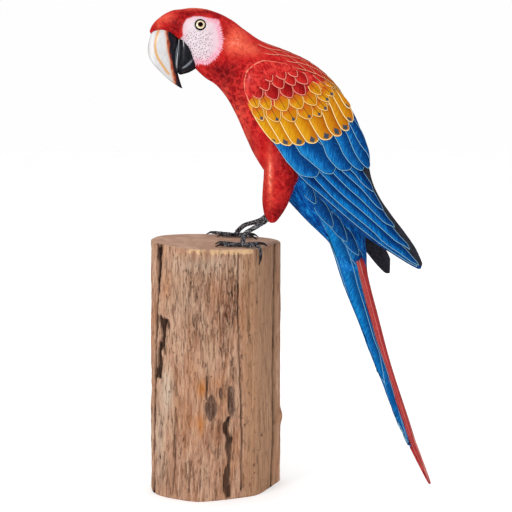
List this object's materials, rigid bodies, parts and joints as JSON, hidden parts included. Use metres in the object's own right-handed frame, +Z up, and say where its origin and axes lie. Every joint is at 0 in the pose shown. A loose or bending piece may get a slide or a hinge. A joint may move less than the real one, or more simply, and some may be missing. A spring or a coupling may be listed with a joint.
{
  "type": "carved wooden macaw statue on a log",
  "caption": "Hand-carved, painted wooden scarlet macaw with folded wings and a long hanging tail, perched on an upright cut log as a tabletop ornament.",
  "frame": {"origin": "in the log's sawn bottom face, under the middle of the log and on the bird's middle plane", "axes": "+Z up, from the floor to the crown; the bird faces -X and its tail hangs towards +X; its left wing is on the -Y side"},
  "size_m": [0.2842, 0.095, 0.4833],
  "materials": {
    "log_wood": "raw weathered hardwood, fibrous and cracked, sawn top",
    "body_paint": "carved softwood, hand-painted scarlet under satin varnish, with a pale bare face patch and a blue rump",
    "bill_horn": "carved, painted cream-white with an ochre line and a dark tip, gloss varnish",
    "bill_charcoal": "carved, painted charcoal, gloss varnish",
    "eye_enamel": "domed painted eye, cream iris and dark pupil, gloss",
    "wing_paint": "carved feather rows painted red, yellow and blue with pale outlines, satin varnish",
    "tail_red_paint": "carved, painted dull red with pale edge lines, satin varnish",
    "tail_blue_paint": "carved, painted blue with pale edge lines, satin varnish",
    "leg_speckled": "wire core under speckled grey-black textured paste",
    "claw_black": "painted black, semi-gloss"
  },
  "bodies": {
    "root": {"bill_lower": "bill_charcoal", "bill_upper": "bill_horn", "claw_left_front_inner": "claw_black", "claw_left_front_outer": "claw_black", "claw_left_rear_inner": "claw_black", "claw_left_rear_outer": "claw_black", "claw_right_front_inner": "claw_black", "claw_right_front_outer": "claw_black", "claw_right_rear_inner": "claw_black", "claw_right_rear_outer": "claw_black", "eye_left": "eye_enamel", "eye_right": "eye_enamel", "foot_left": "leg_speckled", "foot_right": "leg_speckled", "head": "body_paint", "log": "log_wood", "neck": "body_paint", "rump": "body_paint", "shank_left": "leg_speckled", "shank_right": "leg_speckled", "tail_blue_left": "tail_blue_paint", "tail_blue_right": "tail_blue_paint", "tail_red": "tail_red_paint", "thigh_left": "body_paint", "thigh_right": "body_paint", "trunk": "body_paint", "wing_left": "wing_paint", "wing_right": "wing_paint"}
  },
  "joints": []
}
